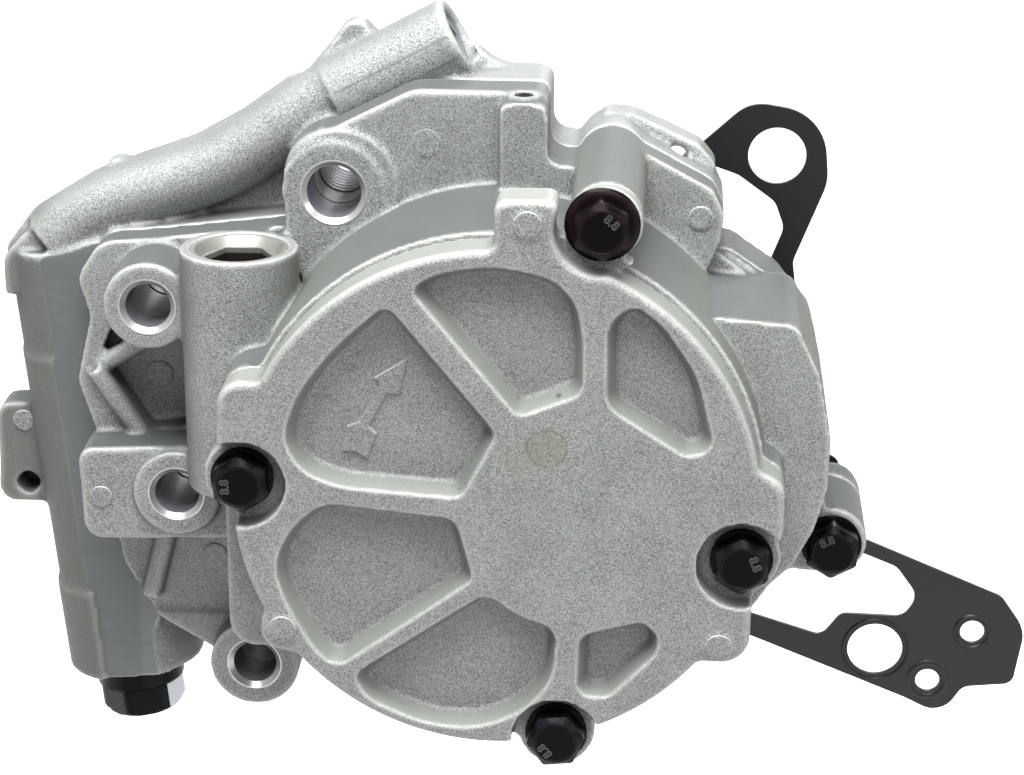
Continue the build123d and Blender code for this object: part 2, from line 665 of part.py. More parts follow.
with BuildPart(barrel_plane(-0.4 - plug_collar_height)) as relief_plug:
    Cylinder(plug_collar, plug_collar_height, align=low_end)
    with Locations((0, 0, plug_collar_height)):
        Cylinder(9 - fit, 9.9, align=low_end)
    with BuildSketch(barrel_plane(-0.4 - plug_collar_height)):
        RegularPolygon(plug_hex / 2, 6, major_radius=False, rotation=46)
    extrude(amount=-plug_hex_height)
    chamfer(relief_plug.faces().sort_by(Axis.Z)[0].edges(), 0.8)
write(relief_plug.part, "relief_plug")
with BuildPart() as plug_washer:
    with BuildSketch(barrel_plane(-0.4)):
        Circle(11.2)
        Circle(9, mode=Mode.SUBTRACT)
    extrude(amount=0.4)
write(plug_washer.part, "relief_plug_washer")


def coil(base, height, coil_radius, wire_radius, turns):
    """Compression spring standing on a plane: its wire is a helix swept with a hexagon."""
    rise = height - 2 * wire_radius
    with BuildPart() as spring:
        with BuildLine() as path:
            Helix(pitch=rise / turns, height=rise, radius=coil_radius, center=(0, 0, wire_radius))
        with BuildSketch(Plane(origin=path.wire() @ 0, z_dir=path.wire() % 0)):
            RegularPolygon(wire_radius, 6)
        sweep(path=path.wire(), is_frenet=True)
    return spring.part.moved(base.location)


write(coil(barrel_plane(9.6), 42, 4.8, 0.8, 8), "relief_spring")

# Check valve in the tower
ball_rise = ((ball_radius + 0.02) ** 2 - 3 ** 2) ** 0.5
with BuildPart(Plane(origin=(tower_at[0], -tower_at[1], ball_seat + ball_rise))) as check_ball:
    Sphere(ball_radius)
write(check_ball.part, "check_ball")
ball_top = ball_seat + ball_rise + ball_radius
write(coil(Plane(origin=(tower_at[0], -tower_at[1], ball_top - 0.9)), 33 - ball_top + 0.8, 3.6, 0.6, 5),
      "check_spring")
with BuildPart(Plane(origin=(tower_at[0], -tower_at[1], 33))) as tower_plug:
    Cylinder(9.5, tower_top - 33.4, align=low_end)
    with BuildSketch(Plane(origin=(tower_at[0], -tower_at[1], tower_top - 0.4))):
        Circle(8.7)
    extrude(amount=-1.8, taper=40, mode=Mode.SUBTRACT)
    with BuildSketch(Plane(origin=(tower_at[0], -tower_at[1], tower_top - 0.4))):
        RegularPolygon(6, 6, major_radius=False)
    extrude(amount=-6, mode=Mode.SUBTRACT)
write(tower_plug.part, "tower_plug")

# Coated steel gasket against the mounting face
gasket_thickness = 0.8
gasket_band = outline(
    [(39.6, 29), (46.2, 46), (45, 60), (30, 62.5), (13, 47), (-8, 47), (-36, 56), (-61, 60), (-62, 42),
     (-80, 37),
     (-94.4, 37), (-94.4, 22), (-84, 8), (-78, 0), (-90.4, -6), (-90.4, -18), (-78, -20), (-70, -30),
     (-79, -50),
     (-76, -62), (-62, -60), (-52, -46), (-30, -49), (-8, -57), (8, -50), (32.6, -55.4), (67, -69.5),
     (75, -73.5),
     (79.5, -66.6), (90, -65.6), (92, -53), (86.7, -45.3), (53, -31), (52, -21), (50.6, -14.6), (42, -10),
     (43, 3)],
    [4, 10, 10.6, 8, 4, 4, 4, 9, 5, 4, 7, 8, 6, 4, 7, 7, 6, 6, 6, 8, 8, 6, 12, 7, 8, 4, 4, 5,
     3, 2.4, 7, 4, 3, 4, 3, 5, 5])
gasket_open = outline(
    [(31, 22), (12, 35), (-12, 38), (-40, 36), (-58, 30), (-66, 6), (-62, -20), (-48, -38), (-20, -42),
     (8, -40), (25, -44.6), (36.6, -12), (36, 6)], [8, 8, 8, 8, 8, 8, 8, 8, 8, 8, 5, 6, 8])
gasket_windows = [
    outline([(22.9, 49), (28, 47.2), (35.6, 41.6), (37.6, 36), (33, 24), (24, 33), (14, 44)],
            [1.5, 5, 4, 4, 2, 2, 2]),
    outline([(31, -49.8), (48.6, -55.4), (52.6, -50), (66, -50.4), (68.9, -45.6), (64, -38.8), (40, -29)],
            [1.5, 2.5, 3, 3, 4, 4, 4])]
gasket_holes = [((35.7, 51.3), 5.9), ((60.2, -58.2), 5.9), ((71.8, -65.3), 2.6), ((80.8, -53.6), 2.6),
                (boss_a[0], 7.3), (boss_b[0], 4.9), (boss_c[0], 4.9), (boss_d[0], 6.4)]
with BuildPart() as gasket:
    with BuildSketch(front(-gasket_thickness)):
        add(gasket_band)
        for shape in [gasket_open] + gasket_windows + [disc(spot, radius) for spot, radius in gasket_holes]:
            add(shape, mode=Mode.SUBTRACT)
    extrude(amount=gasket_thickness)
write(gasket.part, "steel_gasket")
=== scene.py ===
from math import cos, pi, radians, sin

import bmesh
import bpy
import numpy as np
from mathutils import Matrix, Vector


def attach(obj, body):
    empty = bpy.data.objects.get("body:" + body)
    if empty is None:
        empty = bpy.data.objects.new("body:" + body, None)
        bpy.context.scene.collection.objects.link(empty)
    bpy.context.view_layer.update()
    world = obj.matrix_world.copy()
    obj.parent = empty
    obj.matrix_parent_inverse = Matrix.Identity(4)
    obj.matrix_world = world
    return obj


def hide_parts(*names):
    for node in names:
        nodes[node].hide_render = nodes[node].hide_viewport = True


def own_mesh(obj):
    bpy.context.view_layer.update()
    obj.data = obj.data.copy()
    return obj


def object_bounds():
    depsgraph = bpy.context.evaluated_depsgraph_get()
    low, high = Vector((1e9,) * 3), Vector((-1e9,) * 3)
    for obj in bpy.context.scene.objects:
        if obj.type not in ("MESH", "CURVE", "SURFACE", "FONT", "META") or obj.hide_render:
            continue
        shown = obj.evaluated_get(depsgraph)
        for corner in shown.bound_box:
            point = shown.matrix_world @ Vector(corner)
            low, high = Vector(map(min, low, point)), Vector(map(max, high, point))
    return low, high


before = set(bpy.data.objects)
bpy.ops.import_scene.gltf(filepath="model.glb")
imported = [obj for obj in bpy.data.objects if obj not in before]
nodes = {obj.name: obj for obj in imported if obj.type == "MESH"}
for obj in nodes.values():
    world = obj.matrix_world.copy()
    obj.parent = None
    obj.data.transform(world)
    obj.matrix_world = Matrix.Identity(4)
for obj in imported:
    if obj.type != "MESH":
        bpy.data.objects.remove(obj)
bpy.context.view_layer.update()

mm = 0.001
print("frame loaded:", len(nodes), "nodes")

# Colours, and the functions that add shader nodes


def linear(hexColour):
    # sRGB hex to linear light, channel by channel
    parts = [int(hexColour[i:i + 2], 16) / 255 for i in (1, 3, 5)]
    return [p / 12.92 if p <= 0.04045 else ((p + 0.055) / 1.055) ** 2.4 for p in parts] + [1]


def addNode(tree, kind, settings={}, inputs={}):
    # a shader node with its settings, and its inputs given as values or as other nodes' outputs
    made = tree.nodes.new("ShaderNode" + kind)
    for name, value in settings.items():
        setattr(made, name, value)
    for name, value in inputs.items():
        socket = made.inputs[name]
        if isinstance(value, bpy.types.NodeSocket):
            tree.links.new(value, socket)
        else:
            socket.default_value = value
    return made


def calculated(tree, operation, *values):
    return addNode(tree, "Math", {"operation": operation}, dict(enumerate(values))).outputs[0]


def mapped(tree, value, start=(0, 1), end=(0, 1)):
    # value carried from the range start to the range end, and held at both ends
    return addNode(tree, "MapRange", {}, {"Value": value, "From Min": start[0], "From Max": start[1],
                                          "To Min": end[0], "To Max": end[1]}).outputs[0]


def mixed(tree, share, under, over, kind="MIX"):
    # the colour under with a share of the colour over
    return addNode(tree, "MixRGB", {"blend_type": kind}, {0: share, 1: under, 2: over}).outputs[0]


def noised(tree, place, grain, detail, more={}):
    inputs = {"Vector": place, "Scale": 1 / grain, "Detail": detail, **more}
    return addNode(tree, "TexNoise", {}, inputs).outputs["Fac"]


def along(tree, vector, axis):
    return addNode(tree, "SeparateXYZ", {}, {0: vector}).outputs[axis]


def grey(level):
    return [level, level, level, 1]


def spotOn(tree, kind):
    # where on its piece a point is (Object), or which way it faces (Normal)
    return addNode(tree, "TexCoord").outputs[kind]


def newMaterial(name):
    made = bpy.data.materials.new(name)
    made.use_nodes = True
    made.node_tree.nodes.clear()
    return made, made.node_tree


def finishMaterial(tree, inputs):
    shader = addNode(tree, "BsdfPrincipled", {}, inputs)
    addNode(tree, "OutputMaterial", {}, {"Surface": shader.outputs[0]})


# Finishes, each named for what the real one is, some with painted highlights and painted shade as noted

castAluminium = {
    "light": "#b2b6b2", "dark": "#494d4a", "wall": "#62655f", "upperPaintedTone": "#404446", "edgeWearAndHighlight": "#dadcd8",
    "creaseShadeAndDirt": "#4c4d4a", "grain": 0.2 * mm, "speck": 0.19 * mm, "blotch": 9 * mm, "metallic": 0.2,
    "roughness": 0.5, "grainHeight": 0.08 * mm, "wearAndHighlight": 0.45, "sunk": 0.5, "drawnWithPaintedReflection": None, "paintedHighlightAbove": None,
    "milled": [], "milledColour": "#686c6d", "scratch": 0.8 * mm,
}
# how much a face looks forward (front, flat) or upward; how a face bends (pointiness: 0.5 is flat); where the
# grain's tone turns dark and light; and how far speck, grain and blotch shift that tone
castRange = {
    "front": (0.3, 0.8), "flat": (0.93, 0.98), "upward": (0.6, 0.95), "edgeWearAndHighlight": (0.505, 0.56),
    "creaseShadeAndDirt": (0.495, 0.44), "dark": 0.28, "light": 0.74, "speck": 0.3, "middle": 0.65, "wallGrain": 0.45,
    "blotch": 0.07, "wall": 0.82, "roughness": 0.15, "sheen": (0.5, 0.2), "grainRoughness": 0.7,
}
# how many finer layers each noise has
noiseDetail = {"grain": 2, "blotch": 4, "stain": 3, "cutter": 4, "metal": 3, "cloud": 2}
paintedHighlightWall = {"fade": 8 * mm, "share": 0.4}
drawnReflectionWall = {"side": mm, "fade": 4 * mm, "share": 0.8}
stainEdge = {"grain": 2.5 * mm, "ragged": 0.5, "reach": 1.25, "fade": 0.5 * mm, "rim": 0.13 * mm,
             "rimColour": "#3f3a30"}
milledFace = {"turn": 0.5, "stretch": 0.12, "noise": (0.3, 0.7), "shade": (0.88, 1), "roughness": 0.32,
              "height": 0.5}


def makeCastAluminium(name, changes, stains=()):
    # die-cast aluminium, blasted: matte grey with fine bright and dark grains, smoother on the drawn walls,
    # lighter at the edges, partly rubbed by the blast and partly a painted highlight, darker in creases as
    # painted shade with dirt, painted lighter or darker on walls that face up, and milled where its depth is
    # in one of the milled ranges
    size = {**castAluminium, **changes}
    material, tree = newMaterial(name)
    place, normal = spotOn(tree, "Object"), spotOn(tree, "Normal")
    grain = noised(tree, place, size["grain"], noiseDetail["grain"],
                   {"Roughness": castRange["grainRoughness"]})
    cells = addNode(tree, "TexVoronoi", {}, {"Vector": place, "Scale": 1 / size["speck"]})
    speck = addNode(tree, "SeparateColor", {}, {0: cells.outputs["Color"]}).outputs[0]
    ragging = noised(tree, place, stainEdge["grain"], noiseDetail["stain"])
    level = calculated(tree, "ABSOLUTE", along(tree, normal, "Y"))
    front = mapped(tree, level, castRange["front"])

    # tone = (grain + share * speck - middle) * strength + 0.5 + the blotch's shift; strength is less on walls
    both = calculated(tree, "MULTIPLY_ADD", speck, castRange["speck"], grain)
    centred = calculated(tree, "SUBTRACT", both, castRange["middle"])
    strength = mapped(tree, front, end=(castRange["wallGrain"], 1))
    grains = calculated(tree, "MULTIPLY_ADD", centred, strength, 0.5)
    blotch = noised(tree, place, size["blotch"], noiseDetail["blotch"])
    shift = mapped(tree, blotch, end=(-castRange["blotch"], castRange["blotch"]))
    ramp = addNode(tree, "ValToRGB", {}, {"Fac": calculated(tree, "ADD", grains, shift)})
    for stop, shade in zip(ramp.color_ramp.elements, ("dark", "light")):
        stop.position = castRange[shade]
        stop.color = linear(size[shade])

    # walls, drawn smooth by the mould; above a given height they are as light as the faces, a painted
    # highlight on the duct's top; and the barrel on the left, as far right and as far up as given, is drawn
    # smooth too, its wall tone partly that finish and partly a painted dark reflection
    wall = mapped(tree, front, end=(castRange["wall"], 0))
    # painted highlight: above this height the walls keep less of their darker wall tone
    if size["paintedHighlightAbove"]:
        above = (size["paintedHighlightAbove"], size["paintedHighlightAbove"] + paintedHighlightWall["fade"])
        kept = mapped(tree, along(tree, place, "Z"), above, (1, paintedHighlightWall["share"]))
        wall = calculated(tree, "MULTIPLY", wall, kept)
    # the barrel takes the wall tone on its front too: its drawn finish with a painted dark reflection
    if size["drawnWithPaintedReflection"]:
        right, up = size["drawnWithPaintedReflection"]
        left = mapped(tree, along(tree, place, "X"), (right + drawnReflectionWall["side"], right))
        under = mapped(tree, along(tree, place, "Z"), (up + drawnReflectionWall["fade"], up), (0, drawnReflectionWall["share"]))
        wall = calculated(tree, "MAXIMUM", wall, calculated(tree, "MULTIPLY", left, under))
    # walls that face up take the upper tone: painted shade on the castings, where the top lamp would light
    # them, and a painted highlight on the raised marks
    upward = mapped(tree, along(tree, normal, "Z"), castRange["upward"])
    colour = mixed(tree, wall, ramp.outputs[0],
                   mixed(tree, upward, linear(size["wall"]), linear(size["upperPaintedTone"])))

    bend = addNode(tree, "NewGeometry").outputs["Pointiness"]
    # edges that bend outward are made lighter: partly rubbed by the blast, partly a painted highlight
    wearAndHighlight = mapped(tree, bend, castRange["edgeWearAndHighlight"], (0, size["wearAndHighlight"]))
    colour = mixed(tree, wearAndHighlight, colour, linear(size["edgeWearAndHighlight"]))
    # creases that bend inward are made darker: painted shade with dirt
    sunk = mapped(tree, bend, castRange["creaseShadeAndDirt"], (0, size["sunk"]))
    colour = mixed(tree, sunk, colour, linear(size["creaseShadeAndDirt"]))

    for stain in stains:
        # a ragged round stain, with a darker rim where it has one
        away = addNode(tree, "VectorMath", {"operation": "DISTANCE"},
                       {0: place, 1: [v * mm for v in stain["at"]]})
        radius = stain["radius"] * mm
        ragged = calculated(tree, "MULTIPLY_ADD", ragging, stainEdge["ragged"] * radius,
                            away.outputs["Value"])
        reach = stainEdge["reach"] * radius
        share = mapped(tree, ragged, (reach, reach + stainEdge["fade"]), (stain["share"], 0))
        colour = mixed(tree, share, colour, linear(stain["colour"]))
        if "rim" in stain:
            onRim = calculated(tree, "COMPARE", ragged, reach, stainEdge["rim"])
            rim = calculated(tree, "MULTIPLY", onRim, stain["rim"])
            colour = mixed(tree, rim, colour, linear(stainEdge["rimColour"]))

    spread = castRange["roughness"]
    rough = mapped(tree, grain, end=(size["roughness"] - spread, size["roughness"] + spread))
    rough = calculated(tree, "MULTIPLY_ADD", wall, spread, rough)
    height = grains
    depth = along(tree, place, "Y")
    for least, most in size["milled"]:
        # fine lines of the cutter on the flat faces whose depth in mm is in this range
        near = calculated(tree, "COMPARE", depth, -(least + most) / 2 * mm, (most - least) / 2 * mm)
        milled = calculated(tree, "MULTIPLY", near, mapped(tree, level, castRange["flat"]))
        long = addNode(tree, "Mapping", {}, {"Vector": place, "Rotation": (0, milledFace["turn"], 0),
                                             "Scale": (milledFace["stretch"], 1, 1)})
        lines = noised(tree, long.outputs[0], size["scratch"], noiseDetail["cutter"])
        shade = mapped(tree, lines, milledFace["noise"], milledFace["shade"])
        shaded = mixed(tree, 1, linear(size["milledColour"]), shade, "MULTIPLY")
        colour = mixed(tree, milled, colour, shaded)
        rough = mixed(tree, milled, rough, grey(milledFace["roughness"]))
        height = mixed(tree, milled, height, grey(milledFace["height"]))
    bump = addNode(tree, "Bump", {}, {"Height": height, "Strength": 1, "Distance": size["grainHeight"]})
    finishMaterial(tree, {"Base Color": colour, "Metallic": size["metallic"], "Roughness": rough,
                          "Specular IOR Level": mapped(tree, wall, end=castRange["sheen"]),
                          "Normal": bump.outputs[0]})
    return material


# how much a face looks forward where it is slanted: more than a side, and less than a flat top
slantRange = {"side": (0.7, 0.8), "top": (0.98, 0.93)}
# the least and the greatest share of a finish's roughness, and how strong its bump is
plainMetal = {"least": 0.8, "most": 1.2, "bump": 0.4}
turnedMetal = {"least": 0.75, "most": 1.25, "bump": 0.3, "height": 0.02 * mm, "cloud": 12,
               "noise": (0.3, 0.7), "shade": (0.8, 1), "fade": 0.4 * mm}


def makePlainMetal(name, hexColour, metallic, roughness, grain, height, specular=0.5, slantHighlight=None):
    # a metal finish with one grain: colour, roughness and a fine bump; its last argument is the colour of
    # slanted faces, a painted highlight on the chamfers and flange rims
    material, tree = newMaterial(name)
    place = spotOn(tree, "Object")
    colour = linear(hexColour)
    if slantHighlight:
        level = calculated(tree, "ABSOLUTE", along(tree, spotOn(tree, "Normal"), "Y"))
        slant = calculated(tree, "MULTIPLY", *[mapped(tree, level, limits) for limits in slantRange.values()])
        colour = mixed(tree, slant, colour, linear(slantHighlight))
    noise = noised(tree, place, grain, noiseDetail["metal"])
    rough = mapped(tree, noise, end=(roughness * plainMetal["least"], roughness * plainMetal["most"]))
    bump = addNode(tree, "Bump", {}, {"Height": noise, "Strength": plainMetal["bump"], "Distance": height})
    finishMaterial(tree, {"Base Color": colour, "Metallic": metallic, "Specular IOR Level": specular,
                          "Roughness": rough, "Normal": bump.outputs[0]})
    return material


def makeTurnedMetal(name, hexColour, metallic, roughness, ridge, dark=None):
    # metal cut on a lathe or with a reamer: soft sheen with fine ridges, darker where dark gives a height
    material, tree = newMaterial(name)
    place = spotOn(tree, "Object")
    noise = noised(tree, place, ridge, noiseDetail["metal"])
    cloud = noised(tree, place, turnedMetal["cloud"] * ridge, noiseDetail["cloud"])
    shade = mapped(tree, cloud, turnedMetal["noise"], turnedMetal["shade"])
    colour = mixed(tree, 1, linear(hexColour), shade, "MULTIPLY")
    if dark:
        share = mapped(tree, along(tree, place, "Z"), (dark["below"] + turnedMetal["fade"], dark["below"]))
        colour = mixed(tree, share, colour, linear(dark["colour"]))
    rough = mapped(tree, noise, end=(roughness * turnedMetal["least"], roughness * turnedMetal["most"]))
    bump = addNode(tree, "Bump", {}, {"Height": noise, "Strength": turnedMetal["bump"],
                                      "Distance": turnedMetal["height"]})
    finishMaterial(tree, {"Base Color": colour, "Metallic": metallic, "Roughness": rough,
                          "Normal": bump.outputs[0]})
    return material


coverStains = [{"at": (-7.6, -66, 12.2), "radius": 3.7, "colour": "#77705f", "share": 0.3, "rim": 0.35},
               {"at": (-12.2, -66, 10.2), "radius": 3.4, "colour": "#77705f", "share": 0.2},
               {"at": (-14.2, -64, 18.6), "radius": 0.5, "colour": "#3a352c", "share": 0.8},
               {"at": (-5.8, -64, 22.2), "radius": 0.35, "colour": "#3a352c", "share": 0.7},
               {"at": (-24.0, -64, 2.6), "radius": 0.35, "colour": "#3a352c", "share": 0.8},
               {"at": (-49.6, -64, 33.4), "radius": 0.3, "colour": "#3a352c", "share": 0.6}]
# the cover: lighter walls, no darker tone on walls that face up, and a stronger painted highlight on its
# edges
castCover = makeCastAluminium("dieCastAluminiumCover", {"wall": "#7d807b", "upperPaintedTone": "#7d807b", "wearAndHighlight": 0.6},
                              coverStains)
cast = makeCastAluminium("dieCastAluminiumBlasted", {})
# the raised marks: their slanted sides in light tones, a painted highlight where the light catches them
castMark = makeCastAluminium("dieCastAluminiumMark", {"wearAndHighlight": 0, "sunk": 0, "wall": "#c9cbc6",
                                                      "upperPaintedTone": "#d4d6d1"})
# the rear casting: milled at two depths, walls lighter above 36 mm as a painted highlight, barrel darker as a
# painted dark reflection
castMilled = makeCastAluminium("dieCastAluminiumMilled", {"milled": [(-0.4, 0.4), (14.5, 15.5)],
                                                          "drawnWithPaintedReflection": (-97 * mm, 30 * mm), "paintedHighlightAbove": 36 * mm,
                                                          "wall": "#686b66"})
# colour, metallic, roughness, grain and bump height, then the sheen and the colour of slanted faces (painted
# highlight)
blackOxide = makePlainMetal("blackOxideSteel", "#050506", 0.2, 0.25, 0.5 * mm, 0.02 * mm, 0.06, "#191b1e")
brownOxide = makePlainMetal("brownOxideSteel", "#0a0606", 0.2, 0.25, 0.5 * mm, 0.02 * mm, 0.06, "#1c1317")
# the grade figures' light grey outlines: a painted highlight on their raised edges
figureHighlight = makePlainMetal("oxideFiguresPaintedHighlight", "#5c5e60", 0.3, 0.35, 0.3 * mm, 0.01 * mm)
# light grey steel for one facet of the relief plug: a painted highlight
plugFacetHighlight = makePlainMetal("steelFlatPaintedHighlight", "#9da3aa", 0.5, 0.3, 0.4 * mm, 0.01 * mm)
coatedGasket = makePlainMetal("coatedGasketSteel", "#0f1114", 0.1, 0.4, 0.3 * mm, 0.01 * mm, 0.3)
groundSteel = makePlainMetal("groundSteel", "#b4b5b8", 1, 0.22, 0.4 * mm, 0.005 * mm)
sinteredSteel = makePlainMetal("sinteredSteel", "#77787a", 1, 0.45, 0.3 * mm, 0.03 * mm)
bearingBronze = makePlainMetal("bearingBronze", "#b08d57", 1, 0.35, 0.3 * mm, 0.01 * mm)
vanePlastic = makePlainMetal("pressedCarbonVane", "#26241f", 0, 0.4, 0.3 * mm, 0.01 * mm)
sealRubber = makePlainMetal("sealRubber", "#141414", 0, 0.6, 0.4 * mm, 0.02 * mm)
springSteel = makePlainMetal("springSteel", "#8c8d92", 1, 0.3, 0.3 * mm, 0.005 * mm)
softAluminium = makePlainMetal("softAluminiumWasher", "#c4c5c8", 1, 0.35, 0.3 * mm, 0.005 * mm)
# colour, metallic, roughness and ridge
turnedAluminium = makeTurnedMetal("turnedAluminium", "#80848a", 0.4, 0.4, 0.25 * mm)
# the bores' light chamfer rings: their machined finish and a painted highlight
chamferFinishAndHighlight = makeTurnedMetal("turnedAluminiumChamferAndHighlight", "#b4b6b4", 0.6, 0.3, 0.25 * mm)
darkSleeve = makeTurnedMetal("turnedSleeveSteel", "#4a4a50", 0.3, 0.4, 0.25 * mm)
turnedSteel = makeTurnedMetal("turnedSteel", "#8f8e89", 0.6, 0.42, 0.3 * mm,
                              {"colour": "#2a2420", "below": 37.6 * mm})
print("finishes made")

finishOf = {
    "vacuum_cover": castCover, "pump_housing": cast, "rear_body": castMilled, "cover_bolts": blackOxide,
    "long_flange_bolt": brownOxide, "side_bolt": blackOxide, "body_screws": blackOxide,
    "cover_seal": sealRubber, "rotor_bush": bearingBronze, "shaft_bush": bearingBronze,
    "drive_shaft": groundSteel, "vacuum_rotor": sinteredSteel, "vacuum_vane": vanePlastic,
    "vane_pin": groundSteel, "oil_inner_rotor": sinteredSteel, "oil_outer_rotor": sinteredSteel,
    "drive_sprocket": sinteredSteel, "sprocket_bolt": blackOxide, "sprocket_washer": groundSteel,
    "relief_piston": groundSteel, "relief_plug": blackOxide, "relief_plug_washer": softAluminium,
    "relief_spring": springSteel, "check_ball": groundSteel, "check_spring": springSteel,
    "tower_plug": turnedSteel, "steel_gasket": coatedGasket, "dowel_sleeves": darkSleeve,
    "duct_plug": turnedAluminium,
}
for name, finish in finishOf.items():
    nodes[name].data.materials.clear()
    nodes[name].data.materials.append(finish)

# The three castings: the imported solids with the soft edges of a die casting

castings = {
    "vacuum_cover": {"piece": "coverCasting", "voxel": 0.5 * mm, "smooth": 3, "faces": 190000},
    "pump_housing": {"piece": "housingCasting", "voxel": 0.6 * mm, "smooth": 3, "faces": 190000},
    "rear_body": {"piece": "rearCasting", "voxel": 0.7 * mm, "smooth": 3, "faces": 190000},
}
castSurface = {"weld": 0.001 * mm, "relax": 0.5}


def triangleCount(thing):
    # triangles that the piece has with its modifiers on
    made = thing.evaluated_get(bpy.context.evaluated_depsgraph_get()).to_mesh()
    made.calc_loop_triangles()
    return len(made.loop_triangles)


def castSkin(node, piece, voxel, smooth, faces):
    # the solid's own surface sampled on a voxel grid and relaxed, so each sharp edge turns round, and thinned
    # to the number of faces
    mesh = bmesh.new()
    mesh.from_mesh(nodes[node].data)
    bmesh.ops.remove_doubles(mesh, verts=mesh.verts, dist=castSurface["weld"])
    data = bpy.data.meshes.new(piece)
    mesh.to_mesh(data)
    mesh.free()
    skin = bpy.data.objects.new(piece, data)
    bpy.context.scene.collection.objects.link(skin)
    remesh = skin.modifiers.new("grid", "REMESH")
    remesh.mode = "VOXEL"
    remesh.voxel_size = voxel
    relax = skin.modifiers.new("relax", "SMOOTH")
    relax.factor = castSurface["relax"]
    relax.iterations = smooth
    count = triangleCount(skin)
    if count > faces:
        thin = skin.modifiers.new("thin", "DECIMATE")
        thin.ratio = faces / count
    final = bpy.data.meshes.new_from_object(skin.evaluated_get(bpy.context.evaluated_depsgraph_get()))
    skin.modifiers.clear()
    skin.data = final
    final.name = piece
    final.materials.clear()
    final.materials.append(finishOf[node])
    final.polygons.foreach_set("use_smooth", np.ones(len(final.polygons), bool))
    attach(skin, "casing")
    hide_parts(node)
    print(piece, "from", count, "to", len(final.polygons), "faces")


for node, size in castings.items():
    castSkin(node, **size)

# New pieces: each is a grid of points, rows along its profile and columns round it. Points that are closer
# than weld become one, and an edge that bends by more than sharp degrees stays sharp

newMesh = {"weld": 0.002 * mm, "sharp": 32}


def addSurface(name, grids, finish, replaces=None):
    # each grid is rows by columns of points, closed round its columns; a grid given with True is closed
    # along its rows too, and otherwise its first and last rows shrink to a point
    points, faces, first = [], [], 0
    for grid, loop in grids:
        rows, columns = grid.shape[:2]
        index = np.arange(rows * columns).reshape(rows, columns) + first
        nextColumn = np.roll(index, -1, axis=1)
        sides = np.stack([index, nextColumn, np.roll(nextColumn, -1, axis=0), np.roll(index, -1, axis=0)],
                         axis=-1)
        faces += (sides if loop else sides[:-1]).reshape(-1, 4).tolist()
        points.append(grid.reshape(-1, 3))
        first += rows * columns
    return addMesh(name, np.concatenate(points), faces, finish, replaces)


def addMesh(name, points, faces, finish, replaces=None):
    data = bpy.data.meshes.new(name)
    data.from_pydata(np.asarray(points).tolist(), [], faces)
    mesh = bmesh.new()
    mesh.from_mesh(data)
    bmesh.ops.remove_doubles(mesh, verts=mesh.verts, dist=newMesh["weld"])
    bmesh.ops.recalc_face_normals(mesh, faces=mesh.faces)
    mesh.to_mesh(data)
    mesh.free()
    data.materials.append(finish)
    data.polygons.foreach_set("use_smooth", np.ones(len(data.polygons), bool))
    data.set_sharp_from_angle(angle=radians(newMesh["sharp"]))
    made = bpy.data.objects.new(name, data)
    bpy.context.scene.collection.objects.link(made)
    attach(made, "casing")
    if replaces:
        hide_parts(replaces)
    return made


def axesOf(way, side):
    # three directions at right angles: the way itself, and two across it, the first as near side as it can be
    way = np.asarray(way, float) / np.linalg.norm(way)
    across = np.asarray(side, float) - np.dot(side, way) * way
    across /= np.linalg.norm(across)
    return way, across, np.cross(way, across)


def turned(at, way, profile, side=(1, 0, 0), columns=64, shape=None):
    # point = at + height * way + radius * (cos(angle) * side + sin(angle) * across), with shape giving the
    # radius where the section isn't round
    way, across, third = axesOf(way, side)
    height, radius = np.array(profile, float).T[:, :, None] * mm
    angle = np.linspace(0, 2 * pi, columns, endpoint=False)[None, :]
    radius = radius + 0 * angle if shape is None else shape(angle, radius, height)
    return (np.asarray(at)[None, None, :] * mm + height[..., None] * way
            + radius[..., None] * (np.cos(angle)[..., None] * across + np.sin(angle)[..., None] * third))


def hexagonSection(angle, turn, flat, corner):
    # radius of a hexagon: flat / 2 / cos(angle from the middle of a side), and no more than corner
    lean = np.mod(angle - radians(turn), pi / 3) - pi / 6
    return np.minimum(flat / 2 * mm / np.cos(lean), corner * mm)


def hexagonBolt(at, way, turn, flat, corner, head, flange, flangeHeight, shank, length, sunk):
    # radius = the round profile's, but above the flange no more than the hexagon's, whose corners are cut off
    # at the share corner; the profile goes from the shank's end by the flange and the hexagon to the sunk top
    cone = flat / 2 / cos(pi / 6)
    profile = [(-length, 0), (-length, shank - 0.5), (-length + 0.5, shank), (-0.4, shank), (0, shank + 0.2),
               (0, flange - 0.3), (0.15, flange), (0.45 * flangeHeight, flange),
               (0.75 * flangeHeight, flange - 0.35), (flangeHeight, cone + 0.25), (flangeHeight + 0.12, cone),
               (head - 1.15, cone), (head - 1.0, cone * 0.99), (head - 0.1, cone * 0.735),
               (head - 0.02, cone * 0.715), (head, cone * 0.7), (head, cone * 0.68),
               (head - sunk, cone * 0.65), (head - sunk, 0)]

    def section(angle, radius, height):
        isHexagon = height > (flangeHeight + 0.1) * mm
        six = hexagonSection(angle, turn, flat, cone * corner)
        return np.where(isHexagon, np.minimum(six, radius), radius + 0 * angle)

    return turned(at, way, profile, columns=96, shape=section)


# Black bolts, their heads flat with a chamfer and a middle that is slightly sunk

